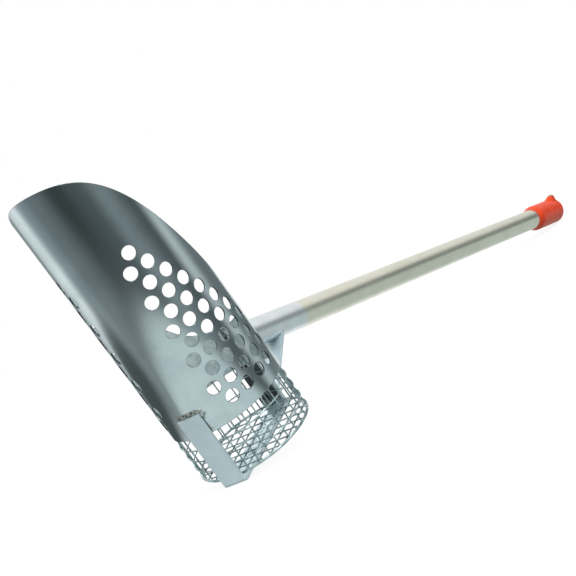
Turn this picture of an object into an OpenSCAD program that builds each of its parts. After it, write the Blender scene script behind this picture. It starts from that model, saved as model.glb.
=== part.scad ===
// Beach sand scoop: a perforated half-open shell with a wire mesh basket behind it,
// a flat strap round the basket, a braced socket and a long tube handle with a soft grip.
//
// Row frame: +Z up, +X towards the grip, the tool's plane of symmetry is Y = 0, and the
// tool stands on the strap's heel and on the grip, with the origin at the bottom centre
// of its box.
// Tool frame (inside place()): the shell's axis is Z with the digging tip up, Z = 0 is
// the shell's rear rim, and +X is the top side, where the handle is.

/* [Shell] */
// Outer diameter of the shell
shell_d = 127; // [110:1:150]
// Thickness of the shell's sheet
shell_t = 1.5; // [1:0.1:2]
// Length from the rear rim to the digging tip
shell_len = 276.5; // [250:0.5:300]
// Length that the mouth's straight edge runs for each millimetre it rises
mouth_run = 2.4; // [2:0.05:2.6]
// Run of the mouth's edge at the digging tip
tip_run = 0.5; // [0.3:0.05:0.8]
// Run of the mouth's edge where it meets the top
brow_run = 0.45; // [0.3:0.05:1.2]

/* [Drain holes] */
// Diameter of one drain hole
hole_d = 13.6; // [8:0.1:15]
// Distance between the rings of holes
ring_gap = 16.6; // [16:0.1:18]
// Angle between neighbouring holes of one ring
hole_step = 17.7; // [16:0.1:19]
// Angle of the first hole from the bottom line
hole_start = 43.2; // [42:0.1:48]
// Distance of the last ring from the rear rim
last_ring = 19.5; // [16:0.1:24]
// Number of rings
rings = 11; // [5:1:11]

/* [Basket] */
// Diameter of the mesh wire
wire_d = 1.5; // [1:0.1:2]
// Pitch of the square mesh
mesh_pitch = 12.7; // [10:0.1:14]
// Depth of the basket behind the rear rim
basket_depth = 52; // [43:0.5:54]
// Length of the mesh inside the shell
mesh_tuck = 9; // [6:0.5:14]
// Wire diameter of the ring round the basket's end
end_ring_d = 2.6; // [2:0.1:3]

/* [Strap and brace] */
// Width of the flat bar
bar_w = 25; // [20:1:30]
// Thickness of the flat bar
bar_t = 3; // [2:0.5:4]
// Length of the strap in front of the rear rim, on the bottom
strap_front = 23.5; // [18:0.5:40]
// Length of the strap in front of the rear rim, on the top
strap_top = 7; // [2:0.5:8]
// Distance of the strap's outer face behind the rear rim
strap_depth = 58.5; // [57.5:0.5:70]
// Distance of the brace's foot behind the rear rim
brace_foot = 42.3; // [35:0.1:46]
// Lean of the brace from the square
brace_lean = 21.8; // [15:0.1:25]

/* [Handle] */
// Outer diameter of the handle tube and its socket
tube_d = 30; // [25:0.5:32]
// Wall of the handle tube
tube_t = 1.5; // [1:0.1:2.5]
// Wall of the welded socket
socket_t = 2; // [1.5:0.1:3]
// Distance of the handle's axis in front of the rear rim, on the shell's top
handle_root = 27.5; // [24:0.1:29]
// Lean of the handle towards the basket
handle_lean = 21.35; // [15:0.05:25]
// Length of the socket
socket_len = 139; // [120:1:180]
// Length of the spigot that joins the socket and the tube
spigot_len = 120; // [80:1:160]
// Length of the handle from the shell's top to the end of the grip
handle_len = 1034; // [600:1:1200]

/* [Grip] */
// Outer diameter of the grip
grip_d = 38.5; // [36:0.5:44]
// Length of the grip
grip_len = 110; // [80:1:140]
// Length of the tapered cuff at the grip's open end
cuff_len = 16; // [5:1:30]
// Thickness of the cuff's lip
cuff_t = 1; // [0.5:0.1:2]
// Height of the hang tab above the grip
tab_h = 8; // [7:0.5:12]
// Thickness of the hang tab
tab_t = 8; // [4:0.5:10]
// Diameter of the hole in the hang tab
tab_hole_d = 4; // [3:0.5:5]
// Turn of the grip about the handle
tab_turn = 26; // [0:1:90]

/* [Welds] */
// Leg of the weld round the socket
socket_bead = 2.8; // [2:0.1:3]
// Radius of the beads on the flat bar
bar_bead = 3; // [2:0.1:4]

/* [Hidden] */

$fn = 96;
// Number of sides for the thin beads that lie against a large cylinder
SMOOTH = 360;
FAR = 400;

shell_r = shell_d / 2;
shell_in = shell_r - shell_t;

// Mouth edge, as the distance in front of the rear rim at height h above the bottom line
nose_h = 0.98 * shell_r;
brow_h = 0.25 * shell_r;
NOSE_STEPS = 22;
BROW_STEPS = 8;
function nose_drop(h) = tip_run * h + (mouth_run - tip_run) * h * h / (2 * nose_h);
function brow_drop(h) = mouth_run * h - (mouth_run - brow_run) * h * h / (2 * brow_h);
brow_start = shell_d - brow_h;
slope_len = shell_len - nose_drop(nose_h) - mouth_run * (brow_start - nose_h);
mouth_edge = concat(
    [for (i = [0 : NOSE_STEPS]) let (h = nose_h * pow(i / NOSE_STEPS, 1.5))
        [h - shell_r, shell_len - nose_drop(h)]],
    [for (i = [0 : BROW_STEPS]) let (h = brow_h * i / BROW_STEPS)
        [brow_start + h - shell_r, slope_len - brow_drop(h)]]
);

// Mesh: the lengthwise wires lie inside the hoops and against the shell's inner face
SPOT_GAP = 0.1;
stringer_r = shell_in - wire_d / 2 - SPOT_GAP;
hoop_r = stringer_r + wire_d;
stringer_step = mesh_pitch / (shell_r * PI / 180);
stringers_per_side = floor(180 / stringer_step + 0.5);
hoops = 3;

// The end ring caps the lengthwise wires, and the wires across the end lie inside both
end_ring_r = shell_r - end_ring_d / 2;
end_ring_z = -basket_depth + end_ring_d / 2;
stringer_end = end_ring_z + end_ring_d / 2;
uprights_z = -basket_depth + wire_d / 2;
crosswires_z = uprights_z + wire_d;
upright_reach = end_ring_r - end_ring_d / 2;
crosswire_reach = stringer_r - wire_d / 2 - SPOT_GAP;
end_wires = floor((crosswire_reach - wire_d) / mesh_pitch);

// Strap bends and handle
BEND = 1.5;
heel_r = BEND + bar_t;
bar_out = shell_r + bar_t;
tube_r = tube_d / 2;
grip_r = grip_d / 2;
grip_end_wall = 4;
tube_end = handle_len - grip_end_wall;

// Standing pose: the heel's bend and the grip's lower edge, both of radius heel_r,
// touch the floor
heel = [-bar_out + heel_r, -strap_depth + heel_r];
along = [cos(handle_lean), -sin(handle_lean)];
across = [sin(handle_lean), cos(handle_lean)];
grip_tip = [shell_r, handle_root] + (handle_len - heel_r) * along;
grip_low = grip_tip - (grip_r - heel_r) * across;
grip_high = grip_tip + (grip_r - heel_r) * across;
lean = atan2(heel[1] - grip_low[1], grip_low[0] - heel[0]);
function row_x(p) = p[0] * cos(lean) - p[1] * sin(lean);
function row_z(p) = p[0] * sin(lean) + p[1] * cos(lean);
lift = heel_r - row_z(heel);
row_min_x = row_x([-shell_r, shell_len]);
row_max_x = row_x(grip_high) + heel_r;

SHEET = "LightSteelBlue";
WIRE = "Silver";
BEAD = "DimGray";
BAR = "LightGray";
TUBE = "DarkKhaki";
GRIP = "OrangeRed";

// Turns the tool frame into the row frame
module place() {
    translate([-(row_min_x + row_max_x) / 2, 0, lift])
        rotate([0, -lean, 0])
            children();
}

// Z runs along the handle from the shell's top line
module on_handle() {
    translate([shell_r, 0, handle_root])
        rotate([0, 90 + handle_lean, 0])
            children();
}

// X runs along the brace from its foot, and the brace lies on the +Z side
module on_brace() {
    translate([bar_out, 0, -brace_foot])
        rotate([0, -brace_lean, 0])
            children();
}

// Straight rod of square-cut ends between two Z values
module rod(r, z0, z1) {
    translate([0, 0, z0])
        cylinder(r = r, h = z1 - z0);
}

// Round rod along Y, centred
module y_rod(r, w) {
    rotate([90, 0, 0])
        cylinder(r = r, h = w, center = true);
}

module ring(ring_r, wire_r) {
    rotate_extrude()
        translate([ring_r, 0])
            circle(r = wire_r, $fn = 24);
}

// Everything that lies above the mouth's edge
module mouth_cut() {
    rotate([90, 0, 0])
        linear_extrude(height = 2 * shell_d, center = true)
            polygon(concat([[-shell_d, shell_len]], mouth_edge,
                [[shell_d, mouth_edge[len(mouth_edge) - 1][1]], [shell_d, FAR], [-shell_d, FAR]]));
}

// Ring k holds holes at every step from the first column; the odd rings sit half a
// step off, and the rings grow one half step at a time until they are full
module drain_holes() {
    FULL = 3.5;
    for (k = [0 : rings - 1], side = [-1, 1]) {
        first = k % 2 == 0 ? 0 : -0.5;
        last = min(k / 2, k % 2 == 0 ? FULL - 0.5 : FULL);
        for (i = [first : last])
            rotate([0, 0, 180 + side * (hole_start + hole_step * i)])
                translate([shell_r, 0, last_ring + ring_gap * (rings - 1 - k)])
                    rotate([0, 90, 0])
                        cylinder(d = hole_d, h = 4 * shell_t, center = true, $fn = 48);
    }
}

module shell() {
    color(SHEET)
        place()
            difference() {
                cylinder(r = shell_r, h = shell_len);
                translate([0, 0, -1])
                    cylinder(r = shell_in, h = shell_len + 2);
                mouth_cut();
                drain_holes();
            }
}

// Bead inside the joint where the rolled sheet's edges meet along the top
module shell_seam_weld() {
    SEAM_R = 1.8;
    END_GAP = 2;
    seam_end = slope_len - brow_drop(brow_h) - END_GAP;
    color(BEAD)
        place()
            intersection() {
                translate([shell_in, 0, 0])
                    rod(SEAM_R, mesh_tuck + 1, seam_end);
                cylinder(r = shell_in, h = shell_len, $fn = SMOOTH);
            }
}

module basket_stringers() {
    color(WIRE)
        place()
            for (k = [0 : stringers_per_side - 1], side = [-1, 1])
                rotate([0, 0, 180 + side * stringer_step * (k + 0.5)])
                    translate([stringer_r, 0, 0])
                        rod(wire_d / 2, stringer_end, mesh_tuck, $fn = 24);
}

module basket_hoops() {
    color(WIRE)
        place()
            for (k = [1 : hoops])
                translate([0, 0, -k * mesh_pitch])
                    ring(hoop_r, wire_d / 2);
}

module basket_end_ring() {
    color(WIRE)
        place()
            translate([0, 0, end_ring_z])
                ring(end_ring_r, end_ring_d / 2);
}

// Parallel wires across the end, along X, each cut square inside a circle
module end_wire_set(reach) {
    for (k = [-end_wires : end_wires]) {
        half = sqrt(pow(reach, 2) - pow(abs(k) * mesh_pitch + wire_d / 2, 2));
        translate([-half, k * mesh_pitch, 0])
            rotate([0, 90, 0])
                cylinder(d = wire_d, h = 2 * half, $fn = 24);
    }
}

module basket_end_uprights() {
    color(WIRE)
        place()
            translate([0, 0, uprights_z])
                end_wire_set(upright_reach);
}

module basket_end_crosswires() {
    color(WIRE)
        place()
            translate([0, 0, crosswires_z])
                rotate([0, 0, 90])
                    end_wire_set(crosswire_reach);
}

// A spot of weld at every other lengthwise wire, on the edge of the rear rim
module basket_tack_welds() {
    TACK_R = 1.5;
    TACK_SET_BACK = 0.5;
    color(BEAD)
        place()
            for (k = [0 : 2 : stringers_per_side - 2], side = [-1, 1])
                rotate([0, 0, 180 + side * stringer_step * (k + 1.5)])
                    translate([shell_in, 0, -TACK_SET_BACK])
                        sphere(r = TACK_R, $fn = 24);
}

// Rounded bar outline of the strap's loop, from the rear face forward
module loop_outline(half_w, depth, r) {
    translate([-half_w, -depth + r])
        square([2 * half_w, depth + shell_len - r]);
    translate([-half_w + r, -depth])
        square([2 * (half_w - r), depth]);
    for (side = [-1, 1])
        translate([side * (half_w - r), -depth + r])
            circle(r = r);
}

module strap() {
    color(BAR)
        place()
            rotate([90, 0, 0])
                linear_extrude(height = bar_w, center = true)
                    difference() {
                        loop_outline(bar_out, strap_depth, heel_r);
                        loop_outline(shell_r, strap_depth - bar_t, BEND);
                        translate([-shell_d, strap_front])
                            square([shell_d, FAR]);
                        translate([0, strap_top])
                            square([shell_d, FAR]);
                    }
}

// Bead across the strap's front end, following the shell's curve
module strap_front_weld() {
    half_angle = asin(bar_w / 2 / shell_r);
    color(BEAD)
        place()
            translate([0, 0, strap_front])
                rotate([0, 0, 180 - half_angle])
                    rotate_extrude(angle = 2 * half_angle)
                        translate([shell_r, 0])
                            intersection() {
                                circle(r = bar_bead, $fn = 32);
                                square(bar_bead);
                            }
}

// Two stitches along each edge of the strap, in the gap between the bar and the shell
module strap_side_welds() {
    STITCHES = [[1.5, 8], [15, 22.5]];
    SINK = 0.6;
    color(BEAD)
        place()
            for (side = [-1, 1], stitch = STITCHES)
                difference() {
                    translate([-shell_r + SINK, side * bar_w / 2, 0])
                        rod(bar_bead, stitch[0], stitch[1]);
                    cylinder(r = shell_r, h = shell_len);
                    translate([-bar_out, -bar_w / 2, -1])
                        cube([2 * bar_t, bar_w, shell_len]);
                }
}

// Bead across the strap's upper end, between the strap and the socket's weld
module strap_top_weld() {
    BEAD_R = 2.2;
    color(BEAD)
        place()
            difference() {
                translate([shell_r, 0, strap_top])
                    y_rod(BEAD_R, bar_w, $fn = SMOOTH);
                cylinder(r = shell_r, h = shell_len, $fn = SMOOTH);
                translate([0, -bar_w, -FAR + strap_top])
                    cube([FAR, 2 * bar_w, FAR]);
                on_handle()
                    rod(tube_r + socket_bead, -FAR / 2, FAR, $fn = SMOOTH);
            }
}

module brace() {
    color(BAR)
        place()
            difference() {
                on_brace()
                    translate([-bar_w, -bar_w / 2, 0])
                        cube([4 * bar_w, bar_w, bar_t]);
                translate([-FAR + bar_out, -FAR / 2, -FAR / 2])
                    cube(FAR);
                on_handle()
                    rod(tube_r, -FAR / 2, FAR);
            }
}

// Fillets in front of and behind the brace's foot
module brace_foot_weld() {
    front = bar_t / cos(brace_lean);
    color(BEAD)
        place()
            difference() {
                for (z = [0, front])
                    translate([bar_out, 0, -brace_foot + z])
                        y_rod(bar_bead, bar_w);
                translate([-FAR + bar_out, -FAR / 2, -FAR / 2])
                    cube(FAR);
                on_brace()
                    translate([-bar_w, -bar_w, 0])
                        cube([4 * bar_w, 2 * bar_w, bar_t]);
            }
}

// Fillets where the brace meets the socket's underside
module brace_head_weld() {
    // The brace's rear and front faces meet the socket's lowest line at these lengths
    root_gap = handle_root + brace_foot;
    meet = (root_gap - tube_r / cos(handle_lean) + bar_t * tan(handle_lean))
        / (tan(brace_lean) + tan(handle_lean)) / cos(brace_lean);
    bead = bar_bead + 1;
    bead_w = bar_w - 4;
    color(BEAD)
        place()
            difference() {
                on_brace()
                    for (z = [0, bar_t])
                        translate([meet - z * tan(brace_lean + handle_lean), 0, z])
                            y_rod(bead, bead_w);
                on_brace()
                    translate([-bar_w, -bar_w, 0])
                        cube([4 * bar_w, 2 * bar_w, bar_t]);
                on_handle()
                    rod(tube_r, -FAR / 2, FAR);
            }
}

module handle_socket() {
    color(SHEET)
        place()
            difference() {
                on_handle()
                    difference() {
                        rod(tube_r, -shell_r / 2, socket_len);
                        rod(tube_r - socket_t, -shell_r, socket_len + 1);
                    }
                cylinder(r = shell_r, h = FAR, center = true);
            }
}

// Collar of weld round the socket's saddle cut
module socket_weld() {
    color(BEAD)
        place()
            difference() {
                intersection() {
                    on_handle()
                        rod(tube_r + socket_bead, -shell_r / 2, shell_r);
                    translate([0, 0, -shell_r])
                        cylinder(r = shell_r + socket_bead, h = 2 * shell_d);
                }
                on_handle()
                    rod(tube_r, -shell_r, shell_d);
                cylinder(r = shell_r, h = FAR, center = true);
                translate([0, -bar_w, -FAR + strap_top])
                    cube([FAR, 2 * bar_w, FAR]);
            }
}

// Inner sleeve, hidden in the socket and the tube
module handle_spigot() {
    SLEEVE_WALL = 2;
    SLIP = 0.05;
    sleeve_r = tube_r - socket_t - SLIP;
    color(SHEET)
        place()
            on_handle()
                difference() {
                    rod(sleeve_r, socket_len - spigot_len / 2, socket_len + spigot_len / 2);
                    rod(sleeve_r - SLEEVE_WALL, 0, 2 * socket_len + spigot_len);
                }
}

module handle_tube() {
    color(TUBE)
        place()
            on_handle()
                difference() {
                    rod(tube_r, socket_len, tube_end);
                    rod(tube_r - tube_t, socket_len - 1, tube_end + 1);
                }
}

// Half section of the grip: a cap with a rounded closed end and a tapered cuff
module grip_section() {
    start = handle_len - grip_len;
    round_r = grip_r - heel_r;
    difference() {
        union() {
            polygon([
                [0, start],
                [tube_r + cuff_t, start],
                [grip_r, start + cuff_len],
                [grip_r, handle_len - heel_r],
                [0, handle_len - heel_r]
            ]);
            translate([0, start + cuff_len])
                square([round_r, grip_len - cuff_len]);
            translate([round_r, handle_len - heel_r])
                circle(r = heel_r, $fn = 64);
        }
        translate([-grip_r, 0])
            square([grip_r + tube_r, tube_end]);
    }
}

module grip_body() {
    rotate_extrude()
        intersection() {
            grip_section();
            square([grip_r, handle_len]);
        }
}

// Flat tab at the closed end, with a hole to hang the tool by
module hang_tab() {
    TAB_R = 5;
    TAB_INSET = 12;
    ROOT_REAR = 16;
    ROOT_FRONT = 10;
    SINK = 3;
    NECK = 1.2;
    eye = grip_r + tab_h - TAB_R;
    difference() {
        translate([0, 0, handle_len - TAB_INSET])
            rotate([90, 0, 0])
                linear_extrude(height = tab_t, center = true)
                    union() {
                        translate([eye, 0])
                            circle(r = TAB_R);
                        polygon([
                            [grip_r - SINK, -ROOT_REAR],
                            [eye + NECK, NECK / 4 - TAB_R],
                            [eye + NECK, TAB_R - NECK / 4],
                            [grip_r - SINK, ROOT_FRONT]
                        ]);
                    }
        translate([eye, 0, handle_len - TAB_INSET])
            y_rod(tab_hole_d / 2, 2 * tab_t);
    }
}

module end_grip() {
    color(GRIP)
        place()
            on_handle()
                rotate([0, 0, 180 + tab_turn])
                    union() {
                        grip_body();
                        hang_tab();
                    }
}

shell();
shell_seam_weld();
basket_stringers();
basket_hoops();
basket_end_ring();
basket_end_uprights();
basket_end_crosswires();
basket_tack_welds();
strap();
strap_front_weld();
strap_side_welds();
strap_top_weld();
brace();
brace_foot_weld();
brace_head_weld();
handle_socket();
socket_weld();
handle_spigot();
handle_tube();
end_grip();
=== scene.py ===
import math
import random

import bmesh
import bpy
from mathutils import Matrix, Vector


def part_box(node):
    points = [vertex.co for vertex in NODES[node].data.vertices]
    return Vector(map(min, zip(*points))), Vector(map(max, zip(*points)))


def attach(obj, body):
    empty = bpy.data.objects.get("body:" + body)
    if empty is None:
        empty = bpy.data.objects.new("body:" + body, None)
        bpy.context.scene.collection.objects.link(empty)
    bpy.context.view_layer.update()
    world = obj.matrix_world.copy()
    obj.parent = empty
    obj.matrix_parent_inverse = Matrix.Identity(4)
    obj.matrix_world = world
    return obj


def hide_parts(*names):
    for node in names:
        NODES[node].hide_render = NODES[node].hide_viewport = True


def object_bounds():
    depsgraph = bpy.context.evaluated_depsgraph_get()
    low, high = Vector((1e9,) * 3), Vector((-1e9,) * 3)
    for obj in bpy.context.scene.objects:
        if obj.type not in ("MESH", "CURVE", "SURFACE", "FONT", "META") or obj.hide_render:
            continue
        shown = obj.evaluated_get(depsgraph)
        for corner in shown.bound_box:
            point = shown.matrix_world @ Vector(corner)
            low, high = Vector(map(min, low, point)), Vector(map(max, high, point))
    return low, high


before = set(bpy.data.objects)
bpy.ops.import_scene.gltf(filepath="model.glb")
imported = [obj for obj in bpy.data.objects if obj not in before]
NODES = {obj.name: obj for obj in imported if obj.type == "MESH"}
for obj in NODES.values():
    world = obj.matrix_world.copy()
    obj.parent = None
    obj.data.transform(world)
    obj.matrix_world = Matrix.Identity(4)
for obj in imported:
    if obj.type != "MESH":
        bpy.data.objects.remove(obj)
cad_box = [list(map(float, corner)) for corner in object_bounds()]
scene = bpy.context.scene

# ---------------------------------------------------------------- the tool's own frame
# The same driving sizes as the CAD source, in metres.
SHELL_R = 0.0635
SHELL_T = 0.0015
SHELL_LEN = 0.2765
TUBE_R = 0.015
BAR_W = 0.025
BAR_T = 0.003
STRAP_FRONT = 0.0235
STRAP_TOP = 0.007
STRAP_DEPTH = 0.0585
BRACE_FOOT = 0.0423
BRACE_LEAN = math.radians(21.8)
HANDLE_ROOT = 0.0275
HANDLE_LEAN = math.radians(21.35)
HANDLE_LEN = 1.034
GRIP_R = 0.01925
GRIP_LEN = 0.110
CUFF_LEN = 0.016
CUFF_T = 0.001
END_T = 0.004
TAB_H = 0.008
TAB_INSET = 0.012
TAB_HOLE_R = 0.002
TAB_EYE = 0.005
TAB_TURN = math.radians(26)
HEEL_R = 0.0045
BAR_OUT = SHELL_R + BAR_T


def lie():
    """The tool lies on its heel and the grip's lower edge: how far it leans, and its origin's height."""
    heel = (-BAR_OUT + HEEL_R, -STRAP_DEPTH + HEEL_R)
    along = (math.cos(HANDLE_LEAN), -math.sin(HANDLE_LEAN))
    across = (math.sin(HANDLE_LEAN), math.cos(HANDLE_LEAN))
    reach = HANDLE_LEN - HEEL_R
    tip = (SHELL_R + reach * along[0], HANDLE_ROOT + reach * along[1])
    low = (tip[0] - (GRIP_R - HEEL_R) * across[0], tip[1] - (GRIP_R - HEEL_R) * across[1])
    lean = math.atan2(heel[1] - low[1], low[0] - heel[0])
    return lean, HEEL_R - (heel[0] * math.sin(lean) + heel[1] * math.cos(lean))


LEAN, LIFT = lie()
# The shell's tip is the row's lowest X, which fixes the shift along X
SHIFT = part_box("shell")[0].x - (-SHELL_R * math.cos(LEAN) - SHELL_LEN * math.sin(LEAN))

# Each frame's place in the row. Z runs up the shell's axis, out along the handle, and through the
# brace's thickness. X runs out of the tool's upper side, out of the handle's lower side, and up the brace.
TOOL = Matrix.Translation((SHIFT, 0, LIFT)) @ Matrix.Rotation(-LEAN, 4, "Y")
HANDLE = (TOOL @ Matrix.Translation((SHELL_R, 0, HANDLE_ROOT))
          @ Matrix.Rotation(math.pi / 2 + HANDLE_LEAN, 4, "Y"))
BRACE = TOOL @ Matrix.Translation((BAR_OUT, 0, -BRACE_FOOT)) @ Matrix.Rotation(-BRACE_LEAN, 4, "Y")


def row(p):
    """A point of the tool frame, in the row frame."""
    x, y, z = p
    return Vector((x * math.cos(LEAN) - z * math.sin(LEAN) + SHIFT, y,
                   x * math.sin(LEAN) + z * math.cos(LEAN) + LIFT))


def tool_vector(x, y, z):
    """A direction of the tool frame, in the row frame."""
    return (TOOL.to_3x3() @ Vector((x, y, z))).normalized()


def axis_distance(place, point):
    """How far a point of the row is from the Z axis of the frame that place gives."""
    p = place.inverted() @ point
    return math.hypot(p.x, p.y)


# ---------------------------------------------------------------- node helpers
def lin(rgb):
    """An sRGB colour of 0 to 255, made linear."""
    out = []
    for v in rgb:
        v = v / 255
        out.append(v / 12.92 if v <= 0.04045 else ((v + 0.055) / 1.055) ** 2.4)
    return (*out, 1.0)


class Nodes:
    """Builds in a node tree, which it empties first."""

    def __init__(self, tree):
        self.tree = tree
        tree.nodes.clear()

    def put(self, socket, value):
        if isinstance(value, bpy.types.NodeSocket):
            self.tree.links.new(value, socket)
        else:
            socket.default_value = value

    def node(self, kind, *values, **settings):
        """A node with its first inputs linked or set. None leaves an input as it is."""
        n = self.tree.nodes.new(kind)
        for key, value in settings.items():
            setattr(n, key, value)
        for socket, value in zip(n.inputs, values):
            if value is not None:
                self.put(socket, value)
        return n

    def math(self, op, *values, clamp=False):
        return self.node("ShaderNodeMath", *values, operation=op, use_clamp=clamp).outputs[0]

    def remap(self, v, a, b, c=0.0, d=1.0, smooth=True):
        """The range a to b, made c to d."""
        way = "SMOOTHSTEP" if smooth else "LINEAR"
        return self.node("ShaderNodeMapRange", v, a, b, c, d, interpolation_type=way, clamp=True).outputs[0]

    def mix(self, factor, a, b, blend="MIX"):
        n = self.tree.nodes.new("ShaderNodeMix")
        n.data_type = "RGBA"
        n.blend_type = blend
        self.put(n.inputs["Factor"], factor)
        self.put(n.inputs[6], a)
        self.put(n.inputs[7], b)
        return n.outputs[2]

    def ramp(self, factor, stops, interpolation):
        """A colour ramp whose stops are (value, linear colour)."""
        n = self.node("ShaderNodeValToRGB", factor)
        n.color_ramp.interpolation = interpolation
        elements = n.color_ramp.elements
        while len(elements) < len(stops):
            elements.new(0.5)
        for item, (value, colour) in zip(elements, stops):
            item.position = value
            item.color = colour
        return n.outputs[0]

    def grey(self, v):
        return self.node("ShaderNodeCombineColor", v, v, v).outputs[0]


class Surface(Nodes):
    """A material of one Principled shader."""

    def __init__(self, name, metallic=1.0, **sockets):
        self.mat = bpy.data.materials.new(name)
        self.mat.use_nodes = True
        super().__init__(self.mat.node_tree)
        self.bsdf = self.node("ShaderNodeBsdfPrincipled")
        self.node("ShaderNodeOutputMaterial", self.bsdf.outputs[0])
        self.bsdf.inputs["Metallic"].default_value = metallic
        for key, value in sockets.items():
            self.bsdf.inputs[key.replace("_", " ")].default_value = value

    def local(self, matrix):
        """Object coordinates taken into the frame that matrix places, as X, Y, Z and the vector."""
        inverse = matrix.inverted()
        coordinates = self.node("ShaderNodeTexCoord").outputs["Object"]
        vector = self.node("ShaderNodeMapping", coordinates, inverse.translation, inverse.to_euler(),
                           vector_type="POINT").outputs[0]
        parts = self.node("ShaderNodeSeparateXYZ", vector).outputs
        return parts[0], parts[1], parts[2], vector

    def radius(self, x, y):
        return self.math("SQRT", self.math("ADD", self.math("MULTIPLY", x, x), self.math("MULTIPLY", y, y)))

    def noise(self, vector, scale, detail=3.0, roughness=0.5):
        n = self.tree.nodes.new("ShaderNodeTexNoise")
        self.put(n.inputs["Vector"], vector)
        n.inputs["Scale"].default_value = scale
        n.inputs["Detail"].default_value = detail
        n.inputs["Roughness"].default_value = roughness
        return n.outputs[0]

    def ragged(self, value, noise, amount):
        """value, moved to and fro by a noise, so that a border along it isn't straight."""
        return self.math("ADD", value, self.math("MULTIPLY", self.math("SUBTRACT", noise, 0.5), amount))

    def get(self, name):
        """What feeds an input of the shader."""
        return self.bsdf.inputs[name].links[0].from_socket

    def colour(self, value):
        self.put(self.bsdf.inputs["Base Color"], value)

    def rough(self, value):
        self.put(self.bsdf.inputs["Roughness"], value)

    def bump(self, height, strength, distance, edge=0.0):
        n = self.node("ShaderNodeBump")
        if edge:
            # Slightly broken edges catch the light
            self.put(n.inputs["Normal"], self.node("ShaderNodeBevel", edge).outputs[0])
        n.inputs["Strength"].default_value = strength
        n.inputs["Distance"].default_value = distance
        self.put(n.inputs["Height"], height)
        self.put(self.bsdf.inputs["Normal"], n.outputs[0])


# ---------------------------------------------------------------- materials
def steel_material(name, matrix, tint, dull, roughness, grain, metallic=1.0, relief=0.06):
    """Bare metal: one tint, duller in faint clouds, with fine lines drawn along grain, and small
    specks. Its light and dark bands are reflections."""
    g = Surface(name, metallic=metallic)
    v = g.local(matrix)[3]
    stretched = g.node("ShaderNodeVectorMath", v, grain, operation="MULTIPLY").outputs[0]
    lines = g.noise(stretched, scale=1.0, detail=4.0, roughness=0.6)
    cloud = g.noise(v, scale=38.0, detail=4.0, roughness=0.55)
    broad = g.noise(v, scale=9.0, detail=2.0)
    base = g.mix(g.remap(g.math("ADD", cloud, broad), 0.8, 1.25, 0.0, 0.5), lin(tint), lin(dull))
    line_shade = g.grey(g.remap(lines, 0.3, 0.7, 0.95, 1.04, smooth=False))
    base = g.mix(1.0, base, line_shade, "MULTIPLY")
    specks = g.remap(g.noise(v, scale=520.0, detail=1.0), 0.74, 0.77)
    g.colour(g.mix(g.math("MULTIPLY", specks, 0.3), base, lin((84, 92, 94))))
    uneven = g.math("ADD", g.math("MULTIPLY", cloud, 0.6), g.math("MULTIPLY", lines, 0.4))
    g.rough(g.remap(uneven, 0.35, 0.65, *roughness, smooth=False))
    g.bump(lines, relief, 0.0003, edge=0.0005)
    return g


def shell_material():
    """The rolled sheet is smooth outside. Inside it is satin, with dull spots along the seam."""
    g = steel_material("polished_rolled_steel", TOOL, (203, 217, 219), (173, 191, 195), (0.14, 0.2),
                       (60, 60, 4))
    x, y, _, v = g.local(TOOL)
    outside, outside_rough = g.get("Base Color"), g.get("Roughness")
    radius = g.radius(x, y)
    inner_r = SHELL_R - SHELL_T
    is_inside = g.remap(radius, inner_r + 0.0003, inner_r + 0.0001)
    scale_marks = g.noise(v, scale=120.0, detail=4.0, roughness=0.6)
    inside = g.mix(g.remap(scale_marks, 0.35, 0.65), lin((222, 232, 233)), lin((190, 204, 207)))
    near_seam = g.math("MULTIPLY", g.remap(g.math("ABSOLUTE", y), 0.009, 0.002), g.remap(x, 0.04, 0.055))
    spots = g.remap(g.noise(v, scale=260.0, detail=2.0, roughness=0.6), 0.48, 0.62)
    seam_spots = g.math("MULTIPLY", near_seam, spots)
    inside = g.mix(g.math("MULTIPLY", seam_spots, 0.75), inside, lin((62, 66, 66)))
    # The punched and trimmed edges between the two skins are dull, and painted dark as painted shade
    not_outside = g.remap(radius, SHELL_R - 0.00005, SHELL_R - 0.00016)
    between = g.math("SUBTRACT", not_outside, is_inside, clamp=True)
    skins = g.mix(is_inside, outside, inside)
    skins = g.mix(g.math("MULTIPLY", between, 0.95), skins, lin((44, 52, 54)))
    # A dark line of painted shade runs round every hole and along the rims
    rounded = g.node("ShaderNodeBevel", 0.0011, samples=8).outputs[0]
    flat = g.node("ShaderNodeNewGeometry").outputs["Normal"]
    turned = g.node("ShaderNodeVectorMath", rounded, flat, operation="DOT_PRODUCT").outputs["Value"]
    painted_rim_shade = g.remap(turned, 0.99, 0.80)
    g.colour(g.mix(g.math("MULTIPLY", painted_rim_shade, 0.75), skins, lin((62, 76, 80))))
    g.put(g.bsdf.inputs["Metallic"], g.math("SUBTRACT", 1.0, g.math("MULTIPLY", is_inside, 0.35)))
    satin = g.remap(scale_marks, 0.3, 0.7, 0.42, 0.58, smooth=False)
    is_dull = g.math("MAXIMUM", is_inside, between)
    g.rough(g.node("ShaderNodeMix", is_dull, None, outside_rough, satin).outputs[0])
    return g.mat


def bar_material():
    """Satin flat bar. The inner face of the strap's upper leg is painted dark, as painted shade."""
    g = steel_material("satin_flat_bar", TOOL, (208, 226, 231), (188, 206, 212), (0.32, 0.42),
                       (30, 900, 30), metallic=0.5)
    x, _, z, v = g.local(TOOL)
    unshaded_colour = g.get("Base Color")
    inner_face = g.math("MULTIPLY", g.remap(x, SHELL_R + 0.0012, SHELL_R + 0.0004), g.remap(x, 0.055, 0.060))
    border = g.ragged(z, g.noise(v, scale=160.0, detail=3.0, roughness=0.6), 0.012)
    # Painted shade: the inner face of the strap's upper leg is painted near black
    scale = g.math("MULTIPLY", inner_face, g.remap(border, -0.054, -0.044))
    g.colour(g.mix(g.math("MULTIPLY", scale, 0.92), unshaded_colour, lin((34, 32, 30))))
    return g.mat


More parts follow.
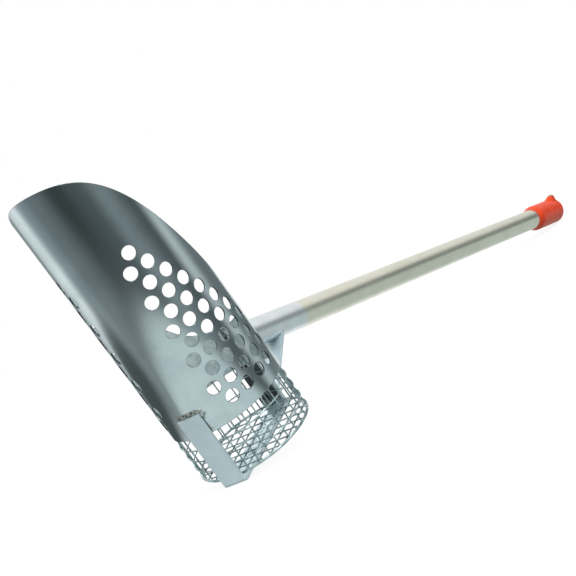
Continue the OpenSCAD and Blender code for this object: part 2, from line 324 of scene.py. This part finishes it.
def wire_material():
    """Bright wire, duller in patches, with fine dark marks."""
    g = Surface("bright_mesh_wire")
    v = g.local(TOOL)[3]
    patches = g.noise(v, scale=90.0, detail=3.0, roughness=0.6)
    marks = g.noise(v, scale=700.0, detail=2.0)
    base = g.mix(g.remap(patches, 0.35, 0.65), lin((118, 138, 140)), lin((182, 198, 200)))
    g.colour(g.mix(g.remap(marks, 0.55, 0.7, 0.0, 0.4), base, lin((74, 88, 90))))
    g.rough(g.remap(marks, 0.3, 0.7, 0.24, 0.42, smooth=False))
    g.bump(marks, 0.15, 0.0002)
    return g.mat


def weld_material(name, dark, mid, light):
    """Weld metal, mottled dark and light in small patches."""
    g = Surface(name, metallic=0.9)
    _, y, _, v = g.local(TOOL)
    patches = g.noise(v, scale=520.0, detail=4.0, roughness=0.65)
    pits = g.noise(v, scale=1100.0, detail=3.0, roughness=0.6)
    mottled = g.ramp(patches, [(0.36, lin(dark)), (0.5, lin(mid)), (0.64, lin(light))], "LINEAR")
    # The runs' -Y ends are brighter
    g.colour(g.mix(g.remap(y, -0.0085, -0.0125, 0.0, 0.55), mottled, lin(light)))
    g.rough(g.remap(pits, 0.3, 0.7, 0.32, 0.6, smooth=False))
    g.bump(g.math("ADD", patches, g.math("MULTIPLY", pits, 0.4)), 0.4, 0.0004)
    return g.mat


def grip_material():
    """Dipped vinyl: soft sheen, faint mottling, and a brownish grey top edge of the tab."""
    g = Surface("soft_vinyl_grip", metallic=0.0, Specular_IOR_Level=0.2)
    x, y, _, v = g.local(HANDLE)
    fine = g.noise(v, scale=1500.0, detail=2.0)
    soft = g.noise(v, scale=60.0, detail=3.0)
    base = g.mix(g.remap(soft, 0.3, 0.7), lin((218, 54, 4)), lin((228, 72, 14)))
    # The tab's top edge is made brownish grey
    tab_top = GRIP_R + TAB_H
    brownish_tab_top = g.remap(g.ragged(g.radius(x, y), soft, 0.003), tab_top - 0.0028, tab_top - 0.0006)
    g.colour(g.mix(g.math("MULTIPLY", brownish_tab_top, 0.8), base, lin((150, 118, 100))))
    g.rough(g.remap(fine, 0.3, 0.7, 0.34, 0.46, smooth=False))
    g.bump(g.math("ADD", g.math("MULTIPLY", fine, 0.4), soft), 0.12, 0.0004)
    return g.mat


SHELL = shell_material()
WIRE = wire_material()
WELD = weld_material("dark_weld", (62, 66, 62), (122, 126, 120), (196, 202, 196))
WELD_BRIGHT = weld_material("bright_weld", (110, 122, 124), (166, 178, 180), (214, 222, 222))
BAR = bar_material()
SOCKET = steel_material("satin_socket", HANDLE, (220, 227, 229), (194, 204, 207), (0.26, 0.34),
                        (70, 70, 3)).mat
TUBE = steel_material("satin_drawn_tube", HANDLE, (219, 219, 203), (201, 201, 184), (0.28, 0.34),
                      (70, 70, 3), relief=0.02).mat
GRIP = grip_material()

BY_NODE = {
    "shell": SHELL, "shell_seam_weld": WELD, "basket_stringers": WIRE, "basket_hoops": WIRE,
    "basket_end_ring": WIRE, "basket_end_uprights": WIRE, "basket_end_crosswires": WIRE,
    "basket_tack_welds": WELD_BRIGHT, "strap": BAR, "strap_front_weld": WELD, "strap_side_welds": WELD,
    "strap_top_weld": WELD, "brace": BAR, "brace_foot_weld": WELD_BRIGHT, "brace_head_weld": WELD_BRIGHT,
    "handle_socket": SOCKET, "socket_weld": WELD_BRIGHT, "handle_spigot": SOCKET, "handle_tube": TUBE,
    "end_grip": GRIP,
}
for name, material in BY_NODE.items():
    mesh = NODES[name].data
    mesh.materials.clear()
    mesh.materials.append(material)


# ---------------------------------------------------------------- detailed pieces
def piece(name, verts, faces, material, node, slot):
    mesh = bpy.data.meshes.new(name)
    mesh.from_pydata([tuple(p) for p in verts], [], faces)
    mesh.validate()
    mesh.materials.append(material)
    for polygon in mesh.polygons:
        polygon.use_smooth = True
    obj = bpy.data.objects.new(name, mesh)
    scene.collection.objects.link(obj)
    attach(obj, "root")
    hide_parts(node)
    return obj


# A weld bead's ripples, as shares of its size or of a ripple's length
RIPPLE_DEPTH = 0.16
RIPPLE_UNEVEN = 0.05
RIPPLE_CURVE = 0.35
BEAD_UNDERSIDE = 0.35
BEAD_END = 0.7


def bead_mesh(path, ups, width, rise, pitch, seed, sides=12, closed=False):
    """A run of weld along path: a low arch over the joint, in overlapping ripples whose fronts
    curve back at the sides, and a little uneven. ups point out of the joint."""
    rng = random.Random(seed)
    lengths = [0.0]
    for a, b in zip(path, path[1:]):
        lengths.append(lengths[-1] + (b - a).length)
    total = lengths[-1]
    wobble = [rng.uniform(-1, 1) for _ in range(int(total / pitch) + 4)]
    verts, faces = [], []
    count = len(path)
    for i in range(count):
        before = path[(i - 1) % count] if closed else path[max(i - 1, 0)]
        after = path[(i + 1) % count] if closed else path[min(i + 1, count - 1)]
        forward = (after - before).normalized()
        up = (ups[i] - forward * ups[i].dot(forward)).normalized()
        side = forward.cross(up)
        taper = 1.0
        if not closed:
            from_end = min(lengths[i], total - lengths[i]) / (BEAD_END * pitch)
            taper = math.sqrt(max(0.0, 1 - (1 - min(from_end, 1.0)) ** 2))
        for k in range(sides):
            turn = 2 * math.pi * k / sides
            sideways, out = math.cos(turn), math.sin(turn)
            phase = lengths[i] / pitch + RIPPLE_CURVE * sideways * sideways
            ripple = 1 - RIPPLE_DEPTH * (phase % 1.0) + RIPPLE_UNEVEN * wobble[int(phase) % len(wobble)]
            height = out * rise * ripple if out > 0 else out * rise * BEAD_UNDERSIDE
            verts.append(path[i] + side * sideways * width / 2 * ripple * taper + up * height * taper)
    rings = count if closed else count - 1
    for i in range(rings):
        for k in range(sides):
            a, b = i * sides + k, i * sides + (k + 1) % sides
            c, d = ((i + 1) % count) * sides + (k + 1) % sides, ((i + 1) % count) * sides + k
            faces.append((a, d, c, b))
    if not closed:
        faces.append(tuple(range(sides)))
        faces.append(tuple(range((count - 1) * sides, count * sides))[::-1])
    return verts, faces


# A drop's bumps and hollows, as shares of its radius, and how far it is pressed down
BLOB_BUMPS = 7
BLOB_UNEVEN = (-0.16, 0.14)
BLOB_FLATNESS = 0.4


def blob_mesh(centre, out, radius, seed):
    """A drop of weld: a low uneven dome."""
    rng = random.Random(seed)
    shape = bmesh.new()
    bmesh.ops.create_icosphere(shape, subdivisions=2, radius=1.0)
    bumps = [(Vector([rng.uniform(-1, 1) for _ in range(3)]).normalized(), rng.uniform(*BLOB_UNEVEN))
             for _ in range(BLOB_BUMPS)]
    verts = []
    for vertex in shape.verts:
        n = vertex.co.normalized()
        grow = 1 + sum(size * max(0.0, n.dot(way)) ** 2 for way, size in bumps)
        p = n * radius * grow
        verts.append(centre + p - out * p.dot(out) * BLOB_FLATNESS)
    faces = [tuple(v.index for v in f.verts) for f in shape.faces]
    shape.free()
    return verts, faces


def joined(parts):
    verts, faces = [], []
    for more_verts, more_faces in parts:
        offset = len(verts)
        verts += more_verts
        faces += [tuple(i + offset for i in f) for f in more_faces]
    return verts, faces


def line(a, b, step=0.0003):
    count = max(2, int((b - a).length / step) + 1)
    return [a.lerp(b, i / (count - 1)) for i in range(count)]


def on_shell(theta, z):
    """A point of the shell's surface, theta from the bottom line towards +Y, and its outward way."""
    c, s = math.cos(theta), math.sin(theta)
    return row((-SHELL_R * c, SHELL_R * s, z)), tool_vector(-c, s, 0)


def arc_on_shell(theta0, theta1, z, count=90):
    pairs = [on_shell(theta0 + (theta1 - theta0) * i / (count - 1), z) for i in range(count)]
    return [p for p, _ in pairs], [u for _, u in pairs]


def halve(near, far, is_short):
    """The length between near and far at which is_short stops being true."""
    for _ in range(30):
        middle = (near + far) / 2
        near, far = (middle, far) if is_short(middle) else (near, middle)
    return near


# The angle that half the strap's width takes up round the shell
STRAP_HALF = math.asin(BAR_W / 2 / SHELL_R)


def make_front_weld():
    """Across the strap's front end, with a lump of spatter at the -Y corner."""
    path, ups = arc_on_shell(STRAP_HALF, -STRAP_HALF, STRAP_FRONT + 0.0019)
    parts = [bead_mesh(path, ups, width=0.0060, rise=0.0015, pitch=0.0019, seed=11)]
    rng = random.Random(12)
    for k in range(9):
        theta = -STRAP_HALF - rng.uniform(-0.02, 0.07)
        centre, out = on_shell(theta, STRAP_FRONT + rng.uniform(-0.003, 0.004))
        parts.append(blob_mesh(centre, out, rng.uniform(0.0010, 0.0021), 20 + k))
    piece("weld_strap_front", *joined(parts), WELD, "strap_front_weld", "weld_bead")


def make_side_welds():
    """Small droplets along both edges of the strap, where it was stitched to the shell."""
    parts = []
    rng = random.Random(31)
    drops = 5
    for side in (-1, 1):
        for low_z, high_z in ((0.0015, 0.008), (0.015, 0.0225)):
            for k in range(drops):
                theta = side * (STRAP_HALF + rng.uniform(0.004, 0.045))
                centre, out = on_shell(theta, low_z + (high_z - low_z) * (k + rng.random()) / drops)
                parts.append(blob_mesh(centre, out, rng.uniform(0.0005, 0.0012), rng.randrange(999)))
    piece("weld_strap_sides", *joined(parts), WELD, "strap_side_welds", "weld_bead")


def make_top_weld():
    """Across the strap's upper end, either side of the socket's weld."""
    half = BAR_W / 2
    z = STRAP_TOP + 0.0008
    path = line(row((SHELL_R, -half, z)), row((SHELL_R, half, z)))
    ups = [tool_vector(1, 0, 0.4)] * len(path)
    bead = bead_mesh(path, ups, width=0.0030, rise=0.0016, pitch=0.0018, seed=41)
    piece("weld_strap_top", *bead, WELD, "strap_top_weld", "weld_bead")


def make_foot_weld():
    """Fillets in front of and behind the brace's foot."""
    half = BAR_W / 2 - 0.0008
    x = BAR_OUT + 0.0004
    gap = 0.0008
    upper = -BRACE_FOOT + BAR_T / math.cos(BRACE_LEAN) + gap
    parts = []
    for seed, z, way in ((51, -BRACE_FOOT - gap, -1), (52, upper, 1)):
        path = line(row((x, -half, z)), row((x, half, z)))
        ups = [tool_vector(1, 0, way)] * len(path)
        parts.append(bead_mesh(path, ups, width=0.0042, rise=0.0020, pitch=0.0020, seed=seed))
    piece("weld_brace_foot", *joined(parts), WELD_BRIGHT, "brace_foot_weld", "weld_bead")


def make_head_weld():
    """A smooth fillet where each face of the brace runs into the socket's underside."""
    count = 70
    parts = []
    for seed, z, way in ((61, 0.0, -1), (62, BAR_T, 1)):
        path, ups = [], []
        for i in range(count):
            y = (BAR_W / 2 - 0.001) * (2 * i / (count - 1) - 1)
            reach = halve(0.0, 0.1, lambda x: axis_distance(HANDLE, BRACE @ Vector((x, y, z))) > TUBE_R)
            at = BRACE @ Vector((reach, y, z))
            inside = HANDLE.inverted() @ at
            outward = (HANDLE.to_3x3() @ Vector((inside.x, inside.y, 0))).normalized()
            path.append(at)
            ups.append((outward + BRACE.to_3x3() @ Vector((0, 0, way))).normalized())
        parts.append(bead_mesh(path, ups, width=0.0034, rise=0.0011, pitch=0.0024, seed=seed))
    piece("weld_brace_head", *joined(parts), WELD_BRIGHT, "brace_head_weld", "weld_bead")


def make_socket_weld():
    """A closed run round the saddle where the socket meets the shell."""
    path, ups = [], []
    count = 360
    for i in range(count):
        turn = 2 * math.pi * i / count
        side = Vector((math.cos(turn) * TUBE_R, math.sin(turn) * TUBE_R, 0))
        way = Vector((0, 0, 1))
        reach = halve(-0.03, 0.06, lambda z: axis_distance(TOOL, HANDLE @ (side + way * z)) < SHELL_R)
        at = HANDLE @ (side + way * reach)
        p = TOOL.inverted() @ at
        path.append(at)
        ups.append((HANDLE.to_3x3() @ side.normalized() + tool_vector(p.x, p.y, 0)).normalized())
    bead = bead_mesh(path, ups, width=0.0046, rise=0.0019, pitch=0.0021, seed=71, closed=True)
    piece("weld_socket", *bead, WELD_BRIGHT, "socket_weld", "weld_bead")


def smooth(value, low, high):
    u = min(max((value - low) / (high - low), 0.0), 1.0)
    return u * u * (3 - 2 * u)


# The tab leans the same way as the CAD grip's: half a turn and TAB_TURN about the handle
TAB_AT = math.pi + TAB_TURN
TAB_Z = HANDLE_LEN - TAB_INSET


def grip_section():
    """The grip's half section as (radius, Z), from the bore's closed end out over the lip and round
    to the middle of the end, and the number of its points before the outer side."""
    start = HANDLE_LEN - GRIP_LEN
    corner = HANDLE_LEN - HEEL_R
    lip_r = TUBE_R + CUFF_T
    bore_end = HANDLE_LEN - END_T
    cuff_steps, ring_step, corner_steps = 16, 0.0015, 12
    section = [(0.0, bore_end), (TUBE_R, bore_end), (TUBE_R, start), (TUBE_R + CUFF_T * 0.6, start),
               (lip_r, start + 0.0006)]
    for k in range(1, cuff_steps + 1):
        share = k / cuff_steps
        section.append((lip_r + (GRIP_R - lip_r) * smooth(share, 0, 1), start + CUFF_LEN * share))
    outer_from = len(section)
    for k in range(1, int((corner - start - CUFF_LEN) / ring_step)):
        section.append((GRIP_R, start + CUFF_LEN + ring_step * k))
    for k in range(corner_steps + 1):
        a = math.pi / 2 * k / corner_steps
        section.append((GRIP_R - HEEL_R * (1 - math.cos(a)), corner + HEEL_R * math.sin(a)))
    section += [(0.006, HANDLE_LEN), (0.0, HANDLE_LEN)]
    return section, outer_from


def fin_height(turn, z):
    """How far the tab stands out of the grip's side, at an angle and a place along the handle."""
    off = abs((turn - TAB_AT + math.pi) % (2 * math.pi) - math.pi) * GRIP_R
    fin = (1 - smooth(off, 0.0004, 0.0105)) ** 1.5
    run = smooth(z, TAB_Z - 0.017, TAB_Z - 0.0035) * (1 - smooth(z, TAB_Z + 0.003, TAB_Z + 0.0105))
    return (TAB_H - 0.0001) * fin * run


def drill_tab(grip):
    """The hole runs across the tab, as in the CAD grip."""
    mesh = bpy.data.meshes.new("tab_drill")
    shape = bmesh.new()
    bmesh.ops.create_cone(shape, cap_ends=True, segments=48, radius1=TAB_HOLE_R, radius2=TAB_HOLE_R,
                          depth=0.03)
    eye = Matrix.Translation((GRIP_R + TAB_H - TAB_EYE, 0, TAB_Z))
    place = HANDLE @ Matrix.Rotation(TAB_AT, 4, "Z") @ eye @ Matrix.Rotation(math.pi / 2, 4, "X")
    bmesh.ops.transform(shape, matrix=place, verts=shape.verts)
    shape.to_mesh(mesh)
    shape.free()
    drill = bpy.data.objects.new("tab_drill", mesh)
    scene.collection.objects.link(drill)
    cut = grip.modifiers.new("hole", "BOOLEAN")
    cut.operation = "DIFFERENCE"
    cut.solver = "EXACT"
    cut.object = drill
    bpy.context.view_layer.update()
    done = bpy.data.meshes.new_from_object(grip.evaluated_get(bpy.context.evaluated_depsgraph_get()))
    grip.modifiers.clear()
    grip.data = done
    for polygon in done.polygons:
        polygon.use_smooth = True
    bpy.data.objects.remove(drill)


def make_grip():
    """The dipped grip: a tapered cuff, a rounded closed end, and a fin-shaped tab with a hole,
    which flows into the body."""
    sides = 216
    section, outer_from = grip_section()
    verts, faces, rings = [], [], []
    for index, (radius, z) in enumerate(section):
        if radius == 0.0:
            rings.append([len(verts)])
            verts.append(HANDLE @ Vector((0, 0, z)))
            continue
        ring = []
        for k in range(sides):
            turn = 2 * math.pi * k / sides
            r = radius + fin_height(turn, z) if index >= outer_from else radius
            ring.append(len(verts))
            verts.append(HANDLE @ Vector((r * math.cos(turn), r * math.sin(turn), z)))
        rings.append(ring)
    for a, b in zip(rings, rings[1:]):
        for k in range(sides):
            n = (k + 1) % sides
            if len(a) == 1:
                faces.append((a[0], b[n], b[k]))
            elif len(b) == 1:
                faces.append((a[k], a[n], b[0]))
            else:
                faces.append((a[k], a[n], b[n], b[k]))
    grip = piece("vinyl_grip", verts, faces, GRIP, "end_grip", "grip_vinyl")
    shape = bmesh.new()
    shape.from_mesh(grip.data)
    bmesh.ops.recalc_face_normals(shape, faces=shape.faces)
    shape.to_mesh(grip.data)
    shape.free()
    drill_tab(grip)


make_front_weld()
make_side_welds()
make_top_weld()
make_foot_weld()
make_head_weld()
make_socket_weld()
make_grip()


# ---------------------------------------------------------------- floor
def stage_quad(name, corners):
    """A flat four-sided object, and the empty tree of its own new material."""
    mesh = bpy.data.meshes.new(name)
    mesh.from_pydata([tuple(c) for c in corners], [], [(0, 1, 2, 3)])
    material = bpy.data.materials.new(name)
    material.use_nodes = True
    mesh.materials.append(material)
    quad = bpy.data.objects.new(name, mesh)
    scene.collection.objects.link(quad)
    return quad, Nodes(material.node_tree)


def make_floor():
    """A pale floor, kept even by its own glow. It neither shows in reflections nor lights the tool."""
    half, drop = 12.0, 0.0004
    floor, g = stage_quad("floor", [(-half, -half, 0), (half, -half, 0), (half, half, 0), (-half, half, 0)])
    floor.location.z = -drop
    floor.visible_glossy = False
    floor.visible_diffuse = False
    diffuse = g.node("ShaderNodeBsdfDiffuse", (0.16, 0.16, 0.16, 1)).outputs[0]
    glow = g.node("ShaderNodeEmission", (0.86, 0.86, 0.86, 1)).outputs[0]
    g.node("ShaderNodeOutputMaterial", g.node("ShaderNodeAddShader", diffuse, glow).outputs[0])


make_floor()

# ---------------------------------------------------------------- the room's light
# Soft strips and dark gaps stand round the tool, as (angle, brightness). Angles are in degrees about
# the shell's axis, from its bottom line towards +Y. The darker a gap is, the cooler it is.
STRIPS = [(-180, 0.2), (-155, 0.2), (-130, 0.65), (-110, 0.12), (-70, 0.3), (-45, 0.12), (-10, 0.05),
          (35, 0.25), (60, 0.4), (80, 1.1), (95, 0.9), (120, 0.3), (180, 0.2)]
DARK_TINT = (0.85, 1.0, 1.05)
CEILING = 1.0
GROUND = 0.5


def strip_colour(level):
    return (*(level * (c + (1 - c) * min(level, 1.0)) for c in DARK_TINT), 1)


def make_world():
    """The strips, under a light ceiling and over a grey ground, are what polished metal reflects.
    Dull surfaces get even light, strong from above. Behind everything the camera sees white."""
    world = bpy.data.worlds.new("studio")
    world.use_nodes = True
    scene.world = world
    g = Nodes(world.node_tree)
    way = g.node("ShaderNodeTexCoord").outputs["Generated"]
    turned = g.node("ShaderNodeMapping", way, None, (0, LEAN, 0), vector_type="VECTOR").outputs[0]
    tool_way = g.node("ShaderNodeSeparateXYZ", turned).outputs
    around = g.math("ARCTAN2", tool_way[1], g.math("MULTIPLY", tool_way[0], -1.0))
    unit = g.remap(around, -math.pi, math.pi, smooth=False)
    stops = [((angle + 180) / 360, strip_colour(level)) for angle, level in STRIPS]
    light = g.ramp(unit, stops, "EASE")
    height = g.node("ShaderNodeSeparateXYZ", way).outputs[2]
    light = g.mix(g.remap(height, 0.08, 0.32), light, (CEILING, CEILING, CEILING, 1))
    light = g.mix(g.remap(height, -0.40, -0.75), light, (GROUND, GROUND, GROUND, 1))
    dull_light = g.grey(g.remap(height, -0.8, 0.9, 0.30, 1.0, smooth=False))
    ray = g.node("ShaderNodeLightPath").outputs
    soft = g.node("ShaderNodeBackground", g.mix(ray["Is Diffuse Ray"], light, dull_light)).outputs[0]
    white = g.node("ShaderNodeBackground", (1, 1, 1, 1)).outputs[0]
    seen = g.node("ShaderNodeMixShader", ray["Is Camera Ray"], soft, white).outputs[0]
    g.node("ShaderNodeOutputWorld", seen)


make_world()


def softbox(name, offset, width, height, power):
    """A soft lamp at offset from the tool's middle, which it points at."""
    middle = (Vector(cad_box[0]) + Vector(cad_box[1])) / 2
    light = bpy.data.lights.new(name, "AREA")
    light.shape = "RECTANGLE"
    light.size, light.size_y, light.energy = width, height, power
    light.specular_factor = 0.3
    lamp = bpy.data.objects.new(name, light)
    lamp.location = middle + Vector(offset)
    lamp.rotation_euler = (-Vector(offset)).to_track_quat("-Z", "Y").to_euler()
    scene.collection.objects.link(lamp)


softbox("key", (-1.2, -1.6, 2.4), width=1.8, height=1.4, power=60)
softbox("fill", (1.4, 1.8, 1.6), width=1.6, height=1.2, power=14)


def studio_card(name, corners, colour, fade=None):
    """A glowing card near the tool, which shows only in reflections. fade is (centre, full, none):
    it glows in full within the first distance of the centre, and not past the second."""
    card, g = stage_quad(name, corners)
    card.visible_camera = False
    card.visible_diffuse = False
    card.visible_shadow = False
    card.visible_transmission = False
    glow = g.node("ShaderNodeEmission", (*colour, 1))
    shader = glow.outputs[0]
    if fade:
        middle, full, none = fade
        place = g.node("ShaderNodeTexCoord").outputs["Object"]
        apart = g.node("ShaderNodeVectorMath", place, middle, operation="DISTANCE").outputs["Value"]
        falloff = g.remap(apart, full, none, 1.0, 0.0)
        g.put(glow.inputs["Strength"], falloff)
        clear = g.node("ShaderNodeBsdfTransparent").outputs[0]
        shader = g.node("ShaderNodeMixShader", falloff, clear, shader).outputs[0]
    g.node("ShaderNodeOutputMaterial", shader)


# Four cards lie on the floor on both sides of the tool. The light ones show in the shell's rear and
# the tube's underside, and leave the horizon as a dark line between. The dark one is beyond the
# scoop. A fifth card stands behind the handle.
CARD_Z = 0.002
MIDLINE = 0.012
PALE_CARD = (1.0, 1.02, 1.02)
rear_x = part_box("strap")[0].x
near_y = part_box("strap")[0].y
far_x = cad_box[1][0] + 0.9


def floor_card(name, outline, colour, fade=None):
    studio_card(name, [(x, y, CARD_Z) for x, y in outline], colour, fade)


floor_card("bounce_scoop",
           [(rear_x - 0.40, near_y - 0.60), (rear_x + 0.65, near_y - 0.60),
            (rear_x + 0.65, near_y - 0.04), (rear_x - 0.40, 0.20)],
           (0.75, 0.81, 0.81), fade=((rear_x - 0.08, -0.10, CARD_Z), 0.18, 0.38))
floor_card("dark_far",
           [(rear_x - 0.45, 0.22), (rear_x + 0.25, 0.06), (rear_x + 0.25, 0.95), (rear_x - 0.45, 0.95)],
           (0.09, 0.10, 0.10), fade=((rear_x + 0.06, 0.45, CARD_Z), 0.21, 0.36))
floor_card("bounce_near",
           [(rear_x + 0.30, -0.32), (rear_x + 1.13, -0.32),
            (rear_x + 1.36, MIDLINE), (rear_x + 0.30, MIDLINE)],
           (0.57, 0.64, 0.63))
floor_card("bounce_far",
           [(rear_x + 0.25, MIDLINE), (far_x, MIDLINE), (far_x, 0.50), (rear_x + 0.25, 0.50)],
           PALE_CARD)
studio_card("back_light",
            [(far_x - 0.95, 0.45, 0), (far_x + 0.90, 0.45, 0),
             (far_x + 0.90, 0.45, 0.45), (far_x - 0.95, 0.45, 0.45)],
            PALE_CARD)

# ---------------------------------------------------------------- camera
# Its place, view and up way, in the tool's frame
CAMERA_AT = (-1.0735, -0.7885, 0.4450)
CAMERA_VIEW = (0.8183, 0.5012, -0.2814)
CAMERA_UP = (0.4952, -0.3660, 0.7879)
CAMERA_LENS = 90.03
CAMERA_SENSOR = 36


def place_camera():
    data = bpy.data.cameras.new("camera")
    data.lens = CAMERA_LENS
    data.sensor_width = CAMERA_SENSOR
    camera = bpy.data.objects.new("camera", data)
    forward = tool_vector(*CAMERA_VIEW)
    right = forward.cross(tool_vector(*CAMERA_UP)).normalized()
    up = right.cross(forward)
    turn = Matrix((right, up, -forward)).transposed()
    camera.matrix_world = Matrix.Translation(row(CAMERA_AT)) @ turn.to_4x4()
    scene.collection.objects.link(camera)
    scene.camera = camera


place_camera()
scene.view_settings.view_transform = "Standard"

bpy.context.view_layer.update()
